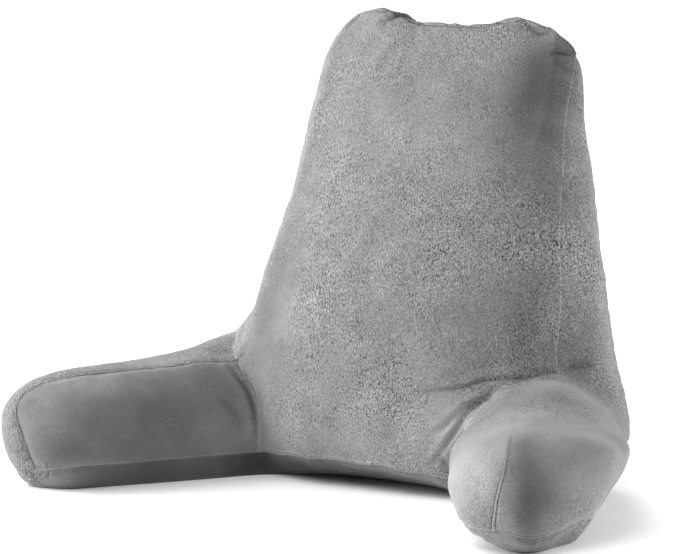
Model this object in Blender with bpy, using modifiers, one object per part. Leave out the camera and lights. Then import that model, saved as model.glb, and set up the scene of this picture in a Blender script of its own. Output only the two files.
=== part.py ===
"""A reading pillow with arms: a stuffed backrest that leans back, and a stuffed arm on each side of it.

The three solids are cut from one smooth body, because the outer side panels run on from the backrest
into the arms. Metres, +Z up, the front towards -Y, and the origin on the floor under the backrest.
"""

from collections import namedtuple
from math import copysign, cos, radians, sin

import bmesh
import bpy
from mathutils import Vector

COLLECTION = "reading_pillow"
PLUSH_COLOUR = (0.29, 0.29, 0.30, 1.0)
PLUSH_ROUGHNESS = 0.92

# Driving dimensions
ARM_SPLAY = radians(29.65)      # the arms point this far outwards from -Y
BACK_BELLY = 0.026              # how far the back panel bulges behind its seams
BASE_INSET = 0.013              # from the bottom seam in to where the body meets the floor
ARCH_HEIGHT = 0.008             # the base is this much off the floor under the front panel's middle
ARCH_DEPTH = 0.036              # and that place is this far behind the bottom seam
UNDER_FLOOR = -0.012            # the smooth body is made this much too deep, then cut flat at the floor
PIECE_GAP = 0.0003              # between the backrest and an arm
SMOOTHING = 2                   # subdivision levels
FITTING_ROUNDS = 4              # passes that bring the smooth skin onto the tables' points
SEAM_CREASE = 0.55
PANEL_ROUNDING = 2.2            # the front panel stays full and turns in late towards its lower corners
BACK_ROUNDING = 0.7             # the same for the back panel
TOP_STRIP_CROWN = 0.007         # of the arm's top strip where it meets the front panel
FLOOR_ARCH_RISE = 0.0045        # of the bottom seam on the centre line
CREST_DEPTH = 0.085             # the y of the crest on the centre line
BASE_MIDDLE = 0.02              # the y of the middle of the base

# The cage is a grid in whole numbers: columns run across, rows up, and layers front to back.
# Layers below 0 are the arms.
COLUMNS = 5
CORNER_COLUMN = 3               # the seam between the front panel and the arm's inner panel
ARM_ROW = 4                     # the top of the arms
TOP_ROW = 10
BACK_LAYER = 2

# One line per row of the backrest, from the bottom seam up, for the right-hand half.
# seam: the front panel's side seam, and below the arm's top the outer side.
# corner: the front panel's lower corner seam, and above the arm's top 0.8 of the way out.
# middle_y: the front panel on the centre line. side: the side panel halfway back. back: the rear seam.
Level = namedtuple("Level", "height seam_x seam_y corner_x corner_y middle_y side_x side_y back_x back_y")
LEVELS = (
    Level(0.024, 0.216, -0.010, 0.119, -0.075, -0.088, 0.200, 0.036, 0.182, 0.077),
    Level(0.052, 0.238, -0.014, 0.114, -0.084, -0.097, 0.223, 0.036, 0.198, 0.083),
    Level(0.084, 0.236, -0.013, 0.1225, -0.082, -0.099, 0.224, 0.029, 0.191, 0.086),
    Level(0.114, 0.184, -0.0245, 0.147, -0.071, -0.094, 0.207, 0.018, 0.181, 0.088),
    Level(0.165, 0.172, -0.006, 0.138, -0.042, -0.077, 0.186, 0.038, 0.168, 0.091),
    Level(0.215, 0.162, 0.010, 0.130, -0.025, -0.057, 0.173, 0.054, 0.158, 0.093),
    Level(0.265, 0.153, 0.025, 0.122, -0.005, -0.033, 0.164, 0.062, 0.150, 0.095),
    Level(0.315, 0.147, 0.041, 0.118, 0.016, -0.005, 0.155, 0.070, 0.141, 0.095),
    Level(0.362, 0.143, 0.055, 0.114, 0.037, 0.026, 0.147, 0.076, 0.134, 0.094),
    Level(0.4075, 0.137, 0.078, 0.110, 0.078, 0.074, 0.133, 0.084, 0.126, 0.088),
)

# How far out each column lies: of the corner's x up to the corner column
COLUMN_SHARES = (0.0, 0.36, 0.71, 1.0)

# The top seam's rise over its ends by column, at the front, along the crest and at the rear
FRONT_RISE = (0.0205, 0.0215, 0.029, 0.0285, 0.015, 0.0)
CREST_RISE = (0.0145, 0.0155, 0.023, 0.0225, 0.010, 0.0)
BACK_RISE = (0.006, 0.007, 0.013, 0.013, 0.006, -0.002)

# One line per station along an arm, from the backrest to the tip, for the right-hand arm.
# along: distance from the corner seam. Widths are measured outwards from the inner top seam's start.
# The inner and outer faces are given at their foot, low, high and at the top seam.
Station = namedtuple("Station", "along inner outer inner_top crest outer_top")
STATIONS = (
    Station(0.035, (-0.028, -0.036, -0.022, 0.006), (0.093, 0.108, 0.105, 0.063), 0.1095, 0.116, 0.113),
    Station(0.075, (-0.027, -0.038, -0.026, 0.011), (0.091, 0.108, 0.107, 0.064), 0.107, 0.110, 0.107),
    Station(0.115, (-0.025, -0.038, -0.026, 0.014), (0.089, 0.108, 0.110, 0.063), 0.106, 0.1095, 0.103),
    Station(0.155, (-0.024, -0.037, -0.024, 0.014), (0.087, 0.106, 0.105, 0.061), 0.1055, 0.109, 0.100),
    Station(0.188, (-0.024, -0.033, -0.017, 0.013), (0.077, 0.092, 0.090, 0.060), 0.1035, 0.105, 0.097),
)
FACE_HEIGHTS = (0.024, 0.053, 0.084)
OUTER_SHORTER = 0.012           # the outer face is this much shorter than the inner one at the last station
SHOULDER_RISE = 0.009           # of the side panel behind the place where the arm's top meets it

# The arm's round tip: its inner seam, its middle and its outer seam, each from the bottom seam up as
# distance along the arm, distance across it and height
TIP = (
    ((0.207, 0.000, 0.020), (0.219, 0.003, 0.054), (0.222, 0.009, 0.080), (0.208, 0.012, 0.098)),
    ((0.219, 0.026, 0.016), (0.230, 0.029, 0.052), (0.223, 0.032, 0.080), (0.206, 0.034, 0.099)),
    ((0.201, 0.049, 0.015), (0.211, 0.055, 0.050), (0.206, 0.058, 0.074), (0.193, 0.060, 0.090)),
)
TIP_INSET = 0.021               # from the tip's bottom seam in to where it meets the floor
TIP_UNDER_FLOOR = -0.006
TIP_LAYER = -len(STATIONS) - 1

# The sewn lines: the spans of columns, rows and layers that each one lies in
Seam = namedtuple("Seam", "columns rows layers")
SEAMS = (
    Seam((0, COLUMNS), (1, 1), (TIP_LAYER, BACK_LAYER)),                       # bottom seam, all round
    Seam((0, COLUMNS), (TOP_ROW, TOP_ROW), (0, 0)),                            # top, front
    Seam((0, COLUMNS), (TOP_ROW, TOP_ROW), (BACK_LAYER, BACK_LAYER)),          # top, rear
    Seam((COLUMNS, COLUMNS), (ARM_ROW, TOP_ROW), (0, 0)),                      # sides of the front panel
    Seam((COLUMNS, COLUMNS), (1, TOP_ROW), (BACK_LAYER, BACK_LAYER)),          # sides of the back panel
    Seam((CORNER_COLUMN, CORNER_COLUMN), (1, ARM_ROW), (0, 0)),                # front panel's lower corners
    Seam((CORNER_COLUMN, COLUMNS), (ARM_ROW, ARM_ROW), (0, 0)),                # root of the arm's top strip
    Seam((CORNER_COLUMN, CORNER_COLUMN), (ARM_ROW, ARM_ROW), (TIP_LAYER, 0)),  # top strip, inner side
    Seam((COLUMNS, COLUMNS), (ARM_ROW, ARM_ROW), (TIP_LAYER, 0)),              # top strip, outer side
    Seam((CORNER_COLUMN, CORNER_COLUMN), (1, ARM_ROW), (TIP_LAYER, TIP_LAYER)),
    Seam((COLUMNS, COLUMNS), (1, ARM_ROW), (TIP_LAYER, TIP_LAYER)),
)

ALONG_ARM = Vector((sin(ARM_SPLAY), -cos(ARM_SPLAY), 0.0))
ACROSS_ARM = Vector((cos(ARM_SPLAY), sin(ARM_SPLAY), 0.0))
TOP_OF_ARM = LEVELS[ARM_ROW - 1]
CORNER_TOP = Vector((TOP_OF_ARM.corner_x, TOP_OF_ARM.corner_y, 0.111))
CORNER_FOOT = Vector((LEVELS[0].corner_x, LEVELS[0].corner_y, LEVELS[0].height))
SEAM_END = Vector((TOP_OF_ARM.seam_x, TOP_OF_ARM.seam_y, 0.121))


def mixed(start, end, share):
    """The value that lies this share of the way from start to end."""
    return start + (end - start) * share


def front_point(column, row):
    """A point of the front panel, or of the arm's root below it."""
    level = LEVELS[max(row, 1) - 1]
    if column > CORNER_COLUMN:
        share = (column - CORNER_COLUMN) / (COLUMNS - CORNER_COLUMN)
        x = mixed(level.corner_x, level.seam_x, share)
        y = mixed(level.corner_y, level.seam_y, share)
        y -= TOP_STRIP_CROWN * (column < COLUMNS)
    else:
        x = level.corner_x * COLUMN_SHARES[column]
        y = mixed(level.middle_y, level.corner_y, COLUMN_SHARES[column] ** PANEL_ROUNDING)
    height = level.height
    if row == ARM_ROW:
        height = mixed(CORNER_TOP.z, SEAM_END.z, max(column - CORNER_COLUMN, 0) / 2)
    to_corner = COLUMN_SHARES[min(column, CORNER_COLUMN)]
    if row == 1:
        height += FLOOR_ARCH_RISE * (1.0 - to_corner)
    if row == TOP_ROW:
        height += FRONT_RISE[column]
    if row == 0:
        y += mixed(ARCH_DEPTH, BASE_INSET, to_corner ** 4)
        height = mixed(ARCH_HEIGHT, UNDER_FLOOR, to_corner ** 4)
    return Vector((x, y, height))


def back_point(column, row):
    """A point of the back panel, fullest on the centre line."""
    level = LEVELS[max(row, 1) - 1]
    share = column / COLUMNS
    from_middle = abs(2 * row / TOP_ROW - 1)
    fullness = (1.0 - share ** 2) ** BACK_ROUNDING * (1.0 - 0.8 * from_middle)
    y = level.back_y + BACK_BELLY * fullness
    height = level.height
    if row == TOP_ROW:
        height += BACK_RISE[column]
    if row == 0:
        y -= BASE_INSET
        height = UNDER_FLOOR
    return Vector((level.back_x * share, y, height))


def middle_point(column, row):
    """A point halfway between front and back: on a side panel, on the crest or under the base."""
    level = LEVELS[max(row, 1) - 1]
    if column == COLUMNS and row > 0:
        rise = {TOP_ROW: CREST_RISE[column], ARM_ROW: SHOULDER_RISE}.get(row, 0.0)
        return Vector((level.side_x, level.side_y, level.height + rise))
    if row == TOP_ROW:
        y = mixed(CREST_DEPTH, level.side_y, column / COLUMNS)
        return Vector((level.side_x * column / COLUMNS, y, level.height + CREST_RISE[column]))
    inset = BASE_INSET * (column == COLUMNS)
    return Vector((level.side_x * column / COLUMNS - inset, BASE_MIDDLE, UNDER_FLOOR))


def arm_place(along, across, height):
    """A place on the right-hand arm, from the top end of its inner seam."""
    place = CORNER_TOP + ALONG_ARM * along + ACROSS_ARM * across
    place.z = height
    return place


def arm_point(column, row, layer):
    """A point on a station of the arm; column 3 is its inner face, 4 its middle and 5 its outer face."""
    station = STATIONS[-layer - 1]
    roundness = (station.along / STATIONS[-1].along) ** 3
    inwards = BASE_INSET * (1.0 + roundness) * (row == 0)
    face = max(row, 1) - 1
    if column == CORNER_COLUMN:
        across, top = station.inner[face] + inwards, station.inner_top
    elif column == COLUMNS:
        across, top = station.outer[face] - inwards, station.outer_top
    else:
        across, top = mixed(station.inner[face], station.outer[face], 0.5), station.crest
    height = (UNDER_FLOOR, *FACE_HEIGHTS, top)[row]
    along = station.along - OUTER_SHORTER * roundness * (column - CORNER_COLUMN) / 2
    along -= TIP_INSET * roundness * (row == 0)
    return arm_place(along, across, height)


def tip_point(column, row):
    """A point on the arm's round tip."""
    along, across, height = TIP[column - CORNER_COLUMN][max(row, 1) - 1]
    if row == 0:
        return arm_place(along - TIP_INSET, mixed(across, TIP[1][0][1], 0.4), TIP_UNDER_FLOOR)
    return arm_place(along, across, height)


def surface_point(column, row, layer):
    """The point of the finished skin that belongs to one vertex of the grid."""
    side = abs(column)
    if layer == TIP_LAYER:
        point = tip_point(side, row)
    elif layer < 0:
        point = arm_point(side, row, layer)
    elif layer == 0:
        point = front_point(side, row)
    elif layer == BACK_LAYER:
        point = back_point(side, row)
    else:
        point = middle_point(side, row)
    point.x = copysign(point.x, column)
    return point


def is_sewn(first, second):
    """Whether the cage edge between two grid places lies on a seam."""
    for seam in SEAMS:
        spans = [span for _ in range(2) for span in seam]
        values = [abs(first[0]), *first[1:], abs(second[0]), *second[1:]]
        if all(low <= value <= high for value, (low, high) in zip(values, spans)):
            return True
    return False


def grid_body():
    """The cage: a block cut along the grid's planes, with an arm drawn forward on each side."""
    body = bmesh.new()
    bmesh.ops.create_cube(body, size=1.0)
    bmesh.ops.scale(body, vec=(2.0 * COLUMNS, TOP_ROW, BACK_LAYER), verts=body.verts)
    bmesh.ops.translate(body, vec=(0.0, TOP_ROW / 2, BACK_LAYER / 2), verts=body.verts)
    cuts = [((1, 0, 0), column) for column in range(1 - COLUMNS, COLUMNS)]
    cuts += [((0, 1, 0), row) for row in range(1, TOP_ROW)]
    cuts += [((0, 0, 1), layer) for layer in range(1, BACK_LAYER)]
    for normal, distance in cuts:
        everything = body.verts[:] + body.edges[:] + body.faces[:]
        bmesh.ops.bisect_plane(body, geom=everything, dist=0.001,
                               plane_co=Vector(normal) * distance, plane_no=normal)
    for side in (-1, 1):
        for step in range(-TIP_LAYER):
            root = [face for face in body.faces if is_arm_end(face, side, -step)]
            drawn = bmesh.ops.extrude_face_region(body, geom=root)
            moved = [item for item in drawn["geom"] if isinstance(item, bmesh.types.BMVert)]
            bmesh.ops.translate(body, vec=(0.0, 0.0, -1.0), verts=moved)
            bmesh.ops.delete(body, geom=[face for face in root if face.is_valid], context="FACES")
    return body


def is_arm_end(face, side, layer):
    """Whether a face closes the front of an arm that has grown as far as this layer."""
    centre = face.calc_center_median()
    across = centre.x * side
    return (abs(centre.z - layer) < 0.1 and CORNER_COLUMN < across < COLUMNS and centre.y < ARM_ROW)


def smooth_body(collection):
    """The whole pillow as one smooth closed mesh whose skin passes through the tables' points."""
    cage = grid_body()
    bmesh.ops.recalc_face_normals(cage, faces=cage.faces)
    # rows run along Z and layers along Y, so the grid is a mirror image of the body
    bmesh.ops.reverse_faces(cage, faces=cage.faces)
    crease = cage.edges.layers.float.new("crease_edge")
    places = [tuple(round(value) for value in vertex.co) for vertex in cage.verts]
    cage.verts.index_update()
    for edge in cage.edges:
        ends = [places[vertex.index] for vertex in edge.verts]
        edge[crease] = SEAM_CREASE * is_sewn(*ends)
    goals = [surface_point(*place) for place in places]
    for vertex, goal in zip(cage.verts, goals):
        vertex.co = goal
    mesh = bpy.data.meshes.new("body")
    cage.to_mesh(mesh)
    cage.free()
    body = bpy.data.objects.new("body", mesh)
    collection.objects.link(body)
    smoothing = body.modifiers.new("smoothing", "SUBSURF")
    smoothing.levels = SMOOTHING
    smoothing.render_levels = SMOOTHING
    for _ in range(FITTING_ROUNDS):
        skin = evaluated_mesh(body)
        for vertex, reached, place, goal in zip(mesh.vertices, skin.vertices, places, goals):
            if place[1] > 0:
                vertex.co += goal - reached.co
        bpy.data.meshes.remove(skin)
        mesh.update()
    return body


def evaluated_mesh(thing):
    """A new mesh of the object with its modifiers applied."""
    bpy.context.view_layer.update()
    return bpy.data.meshes.new_from_object(thing.evaluated_get(bpy.context.evaluated_depsgraph_get()))


def cut_off(solid, point, normal):
    """Remove what lies on the normal's side of a plane, and close the cut with a flat face."""
    everything = solid.verts[:] + solid.edges[:] + solid.faces[:]
    cut = bmesh.ops.bisect_plane(solid, geom=everything, dist=1e-6, plane_co=point, plane_no=normal,
                                 clear_outer=True)
    rim = [item for item in cut["geom_cut"] if isinstance(item, bmesh.types.BMEdge)]
    bmesh.ops.holes_fill(solid, edges=rim, sides=0)


def cut_piece(name, skin, cuts, material, collection):
    """One solid of the pillow: the skin cut by the floor and by the planes given."""
    solid = bmesh.new()
    solid.from_mesh(skin)
    cut_off(solid, Vector((0.0, 0.0, 0.0)), Vector((0.0, 0.0, -1.0)))
    for point, normal in cuts:
        cut_off(solid, point, normal)
    bmesh.ops.remove_doubles(solid, verts=solid.verts, dist=2e-6)
    mesh = bpy.data.meshes.new(name)
    solid.to_mesh(mesh)
    solid.free()
    mesh.shade_smooth()
    mesh.set_sharp_from_angle(angle=radians(40))
    mesh.materials.append(material)
    piece = bpy.data.objects.new(name, mesh)
    collection.objects.link(piece)
    return piece


def arm_plane(side):
    """The plane through the three corners of the seams round an arm's root; it faces the arm's tip."""
    normal = (CORNER_FOOT - CORNER_TOP).cross(SEAM_END - CORNER_TOP).normalized()
    mirror = Vector((side, 1.0, 1.0))
    return CORNER_TOP * mirror, normal * mirror


def plush():
    """The pillow's short grey pile."""
    material = bpy.data.materials.new("plush")
    material.use_nodes = True
    surface = material.node_tree.nodes["Principled BSDF"]
    surface.inputs["Base Color"].default_value = PLUSH_COLOUR
    surface.inputs["Roughness"].default_value = PLUSH_ROUGHNESS
    surface.inputs["Metallic"].default_value = 0.0
    return material


def build():
    """Make the backrest and the two arms."""
    for thing in list(bpy.data.objects):
        bpy.data.objects.remove(thing)
    collection = bpy.data.collections.new(COLLECTION)
    bpy.context.scene.collection.children.link(collection)
    body = smooth_body(collection)
    skin = evaluated_mesh(body)
    bpy.data.objects.remove(body)
    material = plush()
    backrest_cuts = []
    for name, side in (("arm_left", -1), ("arm_right", 1)):
        point, normal = arm_plane(side)
        cut_piece(name, skin, [(point + normal * PIECE_GAP / 2, -normal)], material, collection)
        backrest_cuts.append((point - normal * PIECE_GAP / 2, normal))
    cut_piece("backrest", skin, backrest_cuts, material, collection)
    bpy.data.meshes.remove(skin)


build()
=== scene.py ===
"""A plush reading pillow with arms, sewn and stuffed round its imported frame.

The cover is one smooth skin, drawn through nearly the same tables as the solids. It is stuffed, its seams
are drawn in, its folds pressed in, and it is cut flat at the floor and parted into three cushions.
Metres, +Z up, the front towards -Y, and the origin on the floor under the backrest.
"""

from collections import namedtuple
from math import copysign, cos, pi, radians, sin

import bmesh
import bpy
import numpy as np
from bpy.props import FloatProperty, FloatVectorProperty, PointerProperty
from bpy.types import Operator, Panel, PropertyGroup
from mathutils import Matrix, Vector, noise
from mathutils.kdtree import KDTree


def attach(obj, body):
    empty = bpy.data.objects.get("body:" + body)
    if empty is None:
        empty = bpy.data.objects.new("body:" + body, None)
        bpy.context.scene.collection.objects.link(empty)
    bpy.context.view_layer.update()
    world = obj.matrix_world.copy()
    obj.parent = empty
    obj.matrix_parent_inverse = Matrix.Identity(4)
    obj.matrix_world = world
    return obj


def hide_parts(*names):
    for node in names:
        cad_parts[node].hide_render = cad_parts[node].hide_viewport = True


bl_info = {
    "name": "Reading pillow with arms",
    "version": (1, 0, 0),
    "blender": (4, 5, 0),
    "location": "3D View > Sidebar > Pillow",
    "description": "Sews, stuffs and lights a plush reading pillow round its packed frame",
    "category": "Object",
}

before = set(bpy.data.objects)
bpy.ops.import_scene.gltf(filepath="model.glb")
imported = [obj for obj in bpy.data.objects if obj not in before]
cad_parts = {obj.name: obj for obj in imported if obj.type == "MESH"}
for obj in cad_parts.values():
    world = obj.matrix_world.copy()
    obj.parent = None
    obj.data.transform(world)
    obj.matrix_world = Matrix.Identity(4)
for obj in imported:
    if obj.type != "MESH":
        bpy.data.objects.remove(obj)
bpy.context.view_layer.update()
MM = 0.001

# ---- The pillow's form ----

ARM_SPLAY = radians(29.65)  # the arms point this far outwards from -Y
BACK_BELLY = 0.026  # how far the back panel bulges behind its seams
BASE_INSET = 0.013  # from the bottom seam in to where the body meets the floor
ARCH_HEIGHT = 0.008  # the base is this much off the floor under the front panel's middle
ARCH_DEPTH = 0.036  # and that place is this far behind the bottom seam
ARCH_NARROWING = 4  # how late the arch runs out towards the corners
UNDER_FLOOR = -0.012  # the smooth body is made this much too deep, then cut flat at the floor
FITTING_LEVELS = 2  # subdivision levels while the skin is brought onto the tables' points
FITTING_ROUNDS = 4
PANEL_ROUNDING = 2.2  # the front panel stays full and turns in late towards its lower corners
BACK_ROUNDING = 0.7  # the same for the back panel
BELLY_TAPER = 0.8  # how much less the back panel bulges at its top and foot, as a share
TOP_STRIP_CROWN = 0.007  # of the arm's top strip where it meets the front panel
PANEL_CROWN = 0.004  # the same of the front panel above it
FLOOR_ARCH_RISE = 0.0045  # of the bottom seam on the centre line
CREST_DEPTH = 0.085  # the y of the crest on the centre line
BASE_MIDDLE = 0.02  # the y of the middle of the base

# The cage is a grid in whole numbers: columns run across, rows up, and layers front to back.
# Layers below 0 are the arms.
COLUMNS = 5
CORNER_COLUMN = 3  # the seam between the front panel and the arm's inner panel
ARM_ROW = 4  # the top of the arms
TOP_ROW = 10
BACK_LAYER = 2
GRID_TOLERANCE = 0.001

# One line per row of the backrest, from the bottom seam up, for the right-hand half, in millimetres
Level = namedtuple("Level", "height seam_x seam_y corner_x corner_y middle_y side_x side_y back_x back_y")
LEVELS = [Level(*(MM * value for value in row)) for row in (
    (24, 216, -10, 119, -75, -88, 200, 36, 182, 77),
    (52, 238, -14, 114, -84, -97, 223, 36, 198, 83),
    (84, 236, -13, 122.5, -82, -99, 224, 29, 191, 86),
    (114, 184, -24.5, 147, -71, -94, 207, 18, 181, 88),
    (165, 172, -6, 138, -42, -77, 186, 38, 168, 91),
    (215, 162, 10, 130, -25, -57, 173, 54, 158, 93),
    (265, 153, 25, 122, -5, -33, 164, 62, 150, 95),
    (315, 147, 41, 118, 18, -5, 155, 70, 141, 95),
    (362, 143, 55, 114, 40, 26, 147, 76, 134, 94),
    (407.5, 137, 78, 110, 78, 74, 133, 84, 126, 88),
)]

COLUMN_SHARES = (0.0, 0.36, 0.71, 1.0)  # of the way from the middle to the corner, by column

# The top seam's rise over its ends by column, at the front, along the crest and at the rear
FRONT_RISE = (0.0205, 0.0215, 0.029, 0.0285, 0.015, 0.0)
CREST_RISE = (0.0145, 0.0155, 0.023, 0.0225, 0.010, 0.0)
BACK_RISE = (0.006, 0.007, 0.013, 0.013, 0.006, -0.002)

# One line per station along an arm, from the backrest to the tip, for the right-hand arm
Station = namedtuple("Station", "along inner outer inner_top crest outer_top")
STATIONS = (
    Station(0.035, (-0.028, -0.036, -0.022, 0.006), (0.093, 0.108, 0.105, 0.063), 0.1095, 0.116, 0.113),
    Station(0.075, (-0.027, -0.038, -0.026, 0.011), (0.091, 0.108, 0.107, 0.064), 0.107, 0.110, 0.107),
    Station(0.115, (-0.025, -0.038, -0.026, 0.014), (0.089, 0.108, 0.110, 0.063), 0.106, 0.1095, 0.103),
    Station(0.155, (-0.024, -0.037, -0.024, 0.014), (0.087, 0.106, 0.105, 0.061), 0.1055, 0.109, 0.100),
    Station(0.188, (-0.024, -0.033, -0.017, 0.013), (0.077, 0.092, 0.090, 0.060), 0.1035, 0.105, 0.097),
)
FACE_HEIGHTS = (0.024, 0.053, 0.084)
OUTER_SHORTER = 0.012  # the outer face is this much shorter than the inner one at the last station
SHOULDER_RISE = 0.009  # of the side panel behind the place where the arm's top meets it
END_ROUNDING = 3  # how late the arm turns in towards its last station

# The arm's round tip: its inner seam, its middle and its outer seam, each from the bottom seam up as
# distance along the arm, distance across it and height, in millimetres
TIP = (
    ((207, 0, 20), (219, 3, 54), (222, 9, 80), (208, 12, 98)),
    ((219, 26, 16), (230, 29, 52), (223, 32, 80), (206, 34, 99)),
    ((201, 49, 15), (211, 55, 50), (206, 58, 74), (193, 60, 90)),
)
TIP_INSET = 0.021  # from the tip's bottom seam in to where it meets the floor
TIP_UNDER_FLOOR = -0.006
TIP_GATHER = 0.4  # how far its foot is drawn in towards its middle, as a share
TIP_LAYER = -len(STATIONS) - 1

ALONG_ARM = Vector((sin(ARM_SPLAY), -cos(ARM_SPLAY), 0.0))
ACROSS_ARM = Vector((cos(ARM_SPLAY), sin(ARM_SPLAY), 0.0))
TOP_OF_ARM = LEVELS[ARM_ROW - 1]
CORNER_TOP = Vector((TOP_OF_ARM.corner_x, TOP_OF_ARM.corner_y, 0.111))
CORNER_FOOT = Vector((LEVELS[0].corner_x, LEVELS[0].corner_y, LEVELS[0].height))
SEAM_END = Vector((TOP_OF_ARM.seam_x, TOP_OF_ARM.seam_y, 0.121))

# ---- Sewing ----

# A sewn line runs through grid places. pucker is how strongly the cloth beside it is gathered, and crease
# how sharply the panels meet. Its lap lies on the upper side: where an axis of the grid (0 column, 1 row,
# 2 layer) is past a limit, upwards or downwards. left and right are how strongly the line shows on either
# half, at even steps along its run, and laps is how far its lap stands out there.
ALL = (1.0, 1.0)
Sewn = namedtuple("Sewn", "places profile pucker crease upper left right laps", defaults=(ALL, ALL, (0, 0)))
SEWN = (
    # the inner and the outer edge of the arm's top strip
    Sewn(((3, 4, 0), (3, 4, -6), (3, 1, -6)), "groove", 0.5, 0.55, (0, 3, 1), ALL,
         (0.0, 0.0, 0.0, 0.05, 0.05, 0.1, 0.5, 1.2, 1.2), (0.1, 1.0)),
    Sewn(((5, 4, 0), (5, 4, -6), (5, 1, -6)), "faint", 0.4, 0.1, (0, 5, -1), ALL,
         (1.4, 0.8, 0.1, 0.0, 0.0, 0.0)),
    # the feet of the arm's inner panel, of its tip and of its outer panel
    Sewn(((3, 1, 0), (3, 1, -6)), "ridge", 0.6, 0.2, (1, 1, 1)),
    Sewn(((3, 1, -6), (5, 1, -6)), "groove", 0.8, 0.0, (1, 1, 1), laps=(0.5, 0.7)),
    Sewn(((5, 1, -6), (5, 1, 2)), "ridge", 0.6, 0.2, (1, 1, 1)),
    # the arm's root, beside the front panel and below it
    Sewn(((3, 1, 0), (3, 4, 0)), "ridge", 0.3, 0.3, (2, 0, -1)),
    Sewn(((3, 4, 0), (5, 4, 0)), "ridge", 0.5, 0.3, (2, 0, -1)),
    # the side panel's front and back edges
    Sewn(((5, 4, 0), (5, 10, 0)), "edge", 0.4, 0.45, (0, 5, -1)),
    Sewn(((5, 1, 2), (5, 10, 2)), "groove", 0.6, 0.55, (0, 5, -1)),
)
SEWN_ACROSS = (
    # the feet of the front and the back panel, and their top edges
    Sewn(((-3, 1, 0), (3, 1, 0)), "pale", 0.3, 0.6, (1, 1, 1), laps=(1.0, 1.0)),
    Sewn(((-5, 1, 2), (5, 1, 2)), "groove", 0.6, 0.55, (1, 1, 1)),
    Sewn(((-5, 10, 0), (5, 10, 0)), "groove", 1.0, 0.4, (1, 10, -1),
         (0.1, 0.1, 0.3, 1.2, 1.0, 0.8, 0.8, 0.6, 0.4, 0.3, 0.2)),
    Sewn(((-5, 10, 2), (5, 10, 2)), "groove", 1.0, 0.4, (1, 10, -1)),
)

# depth and reach of the soft trough along a seam, and how much painted shade (below 0) or painted highlight
# (above 0) its line carries
SEAM_PROFILES = {
    "groove": (0.0014, 0.0045, -0.75),
    "pale": (0.0010, 0.0045, 0.45),
    "ridge": (0.0012, 0.0050, 0.45),
    "edge": (0.0004, 0.0030, 0.55),
    "faint": (0.0005, 0.0060, 0.12),
}
LAP_WIDTH = 0.0042  # from the seam to the second row of stitches
LAP_HEIGHT = 0.0008
PUCKER_HEIGHT = 0.0016
PUCKER_PITCH = 0.0085  # from one pucker to the next on a seam's upper side
LOWER_PUCKER_PITCH = PUCKER_PITCH * 0.6
PUCKER_REACH = 0.011
PUCKER_FADE = 2.2  # how fast the puckers die down over that
WAVE_SAMPLES = 12  # of a wavering line between two of its knots
WAVE_JITTER = 0.3  # how unevenly the knots are spaced, in pitches
NOISE_GAIN = 1.6  # brings smooth noise to heights of about 1
SEAM_STEP = 0.0005  # spacing of the points that a sewn line is measured at
SEAM_REACH = 0.030
STITCH_PITCH = 0.0034
SEAM_SHADE_REACH = 0.010  # a seam's lines are drawn in full within half of this
END_STEPS = 4  # a seam's direction at its end is taken over this many points

# ---- Folds ----

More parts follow.
